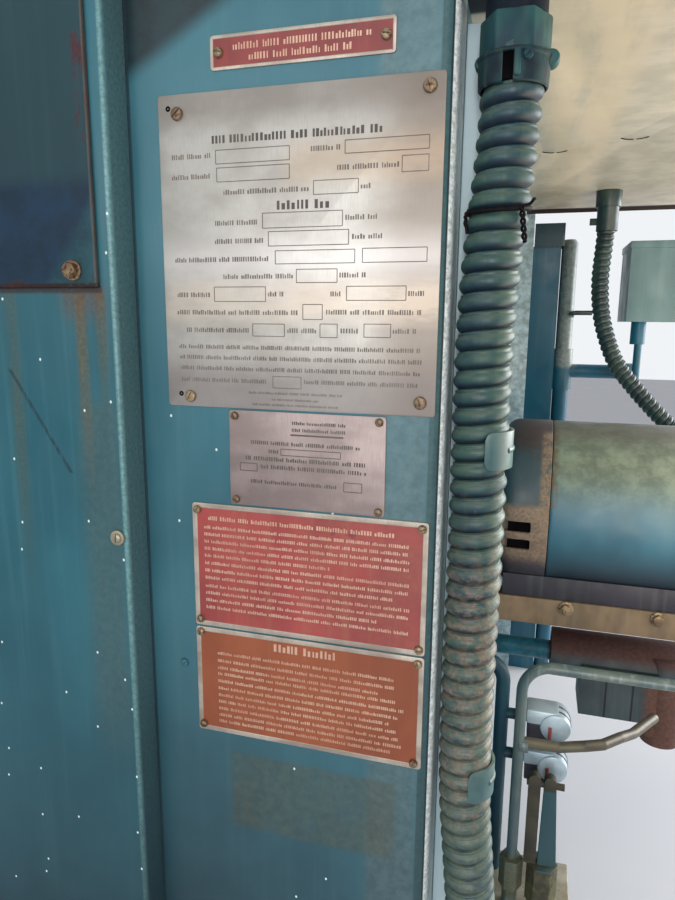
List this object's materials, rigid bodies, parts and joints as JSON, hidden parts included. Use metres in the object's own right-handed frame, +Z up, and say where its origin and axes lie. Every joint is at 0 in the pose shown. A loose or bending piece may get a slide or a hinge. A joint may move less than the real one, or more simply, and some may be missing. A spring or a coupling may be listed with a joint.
{
  "type": "industrial boiler front corner section",
  "caption": "Front corner of a packaged boiler: sheet casing on a bolted frame, with bare plates, wound flexible conduit, control cabinet and blower motor.",
  "frame": {"origin": "middle of the bolted web of the side post, on its outer face", "axes": "+X from the side bay towards the boiler front, +Y into the boiler, +Z up"},
  "size_m": [0.825, 0.8235, 1],
  "materials": {
    "casing_teal": "semi-gloss enamel, faded and spotted",
    "cover_teal": "semi-gloss enamel, rusty lower edge",
    "frame_teal": "enamel",
    "strut_paint": "sun-faded enamel",
    "conduit_paint": "enamel over wound steel strip, rubbed on the ridges",
    "fitting_paint": "enamel on cast fittings",
    "wool": "mineral wool",
    "plate_silver": "brushed",
    "plate_red": "baked enamel, weathered",
    "plate_orange": "baked enamel, weathered",
    "cabinet_steel": "rolled sheet, satin",
    "motor_paint": "enamel, peeled at the end bell",
    "shelf_paint": "weathered tan",
    "column_paint": "enamel",
    "box_paint": "enamel",
    "tube_paint": "enamel on tube",
    "pump_paint": "painted casting with rust",
    "fuel_tube_finish": "weathered",
    "switch_paint": "blue-grey",
    "linkage_metal": "rusty",
    "wire_black": "black"
  },
  "bodies": {
    "root": {"side_panel": "casing_teal", "access_cover": "cover_teal", "corner_panel": "casing_teal", "front_panel": "casing_teal", "side_post": "frame_teal", "corner_post": "frame_teal", "front_post": "frame_teal", "top_side_rail": "frame_teal", "bottom_side_rail": "frame_teal", "top_front_rail": "frame_teal", "bottom_front_rail": "frame_teal", "side_insulation": "wool", "front_insulation": "wool", "level_tag": "plate_red", "data_plate": "plate_silver", "approval_plate": "plate_silver", "red_plate": "plate_red", "orange_plate": "plate_orange", "conduit_strut": "strut_paint", "conduit": "conduit_paint", "top_connector": "fitting_paint", "lower_connector": "fitting_paint", "lower_box": "box_paint", "conduit_straps": "fitting_paint", "wire_tie": "wire_black", "cabinet_shell": "cabinet_steel", "cabinet_door": "casing_teal", "far_conduit": "conduit_paint", "far_connectors": "fitting_paint", "motor_barrel": "motor_paint", "motor_rear_bell": "motor_paint", "motor_front_bell": "motor_paint", "motor_feet": "motor_paint", "terminal_box": "motor_paint", "motor_shelf": "shelf_paint", "far_columns": "column_paint", "far_box": "box_paint", "far_box_stand": "column_paint", "water_tube": "tube_paint", "stand_pipe": "column_paint", "fuel_pump": "pump_paint", "fuel_tube": "fuel_tube_finish", "control_switches": "switch_paint", "linkage": "linkage_metal", "lower_bracket": "frame_teal"}
  },
  "joints": []
}
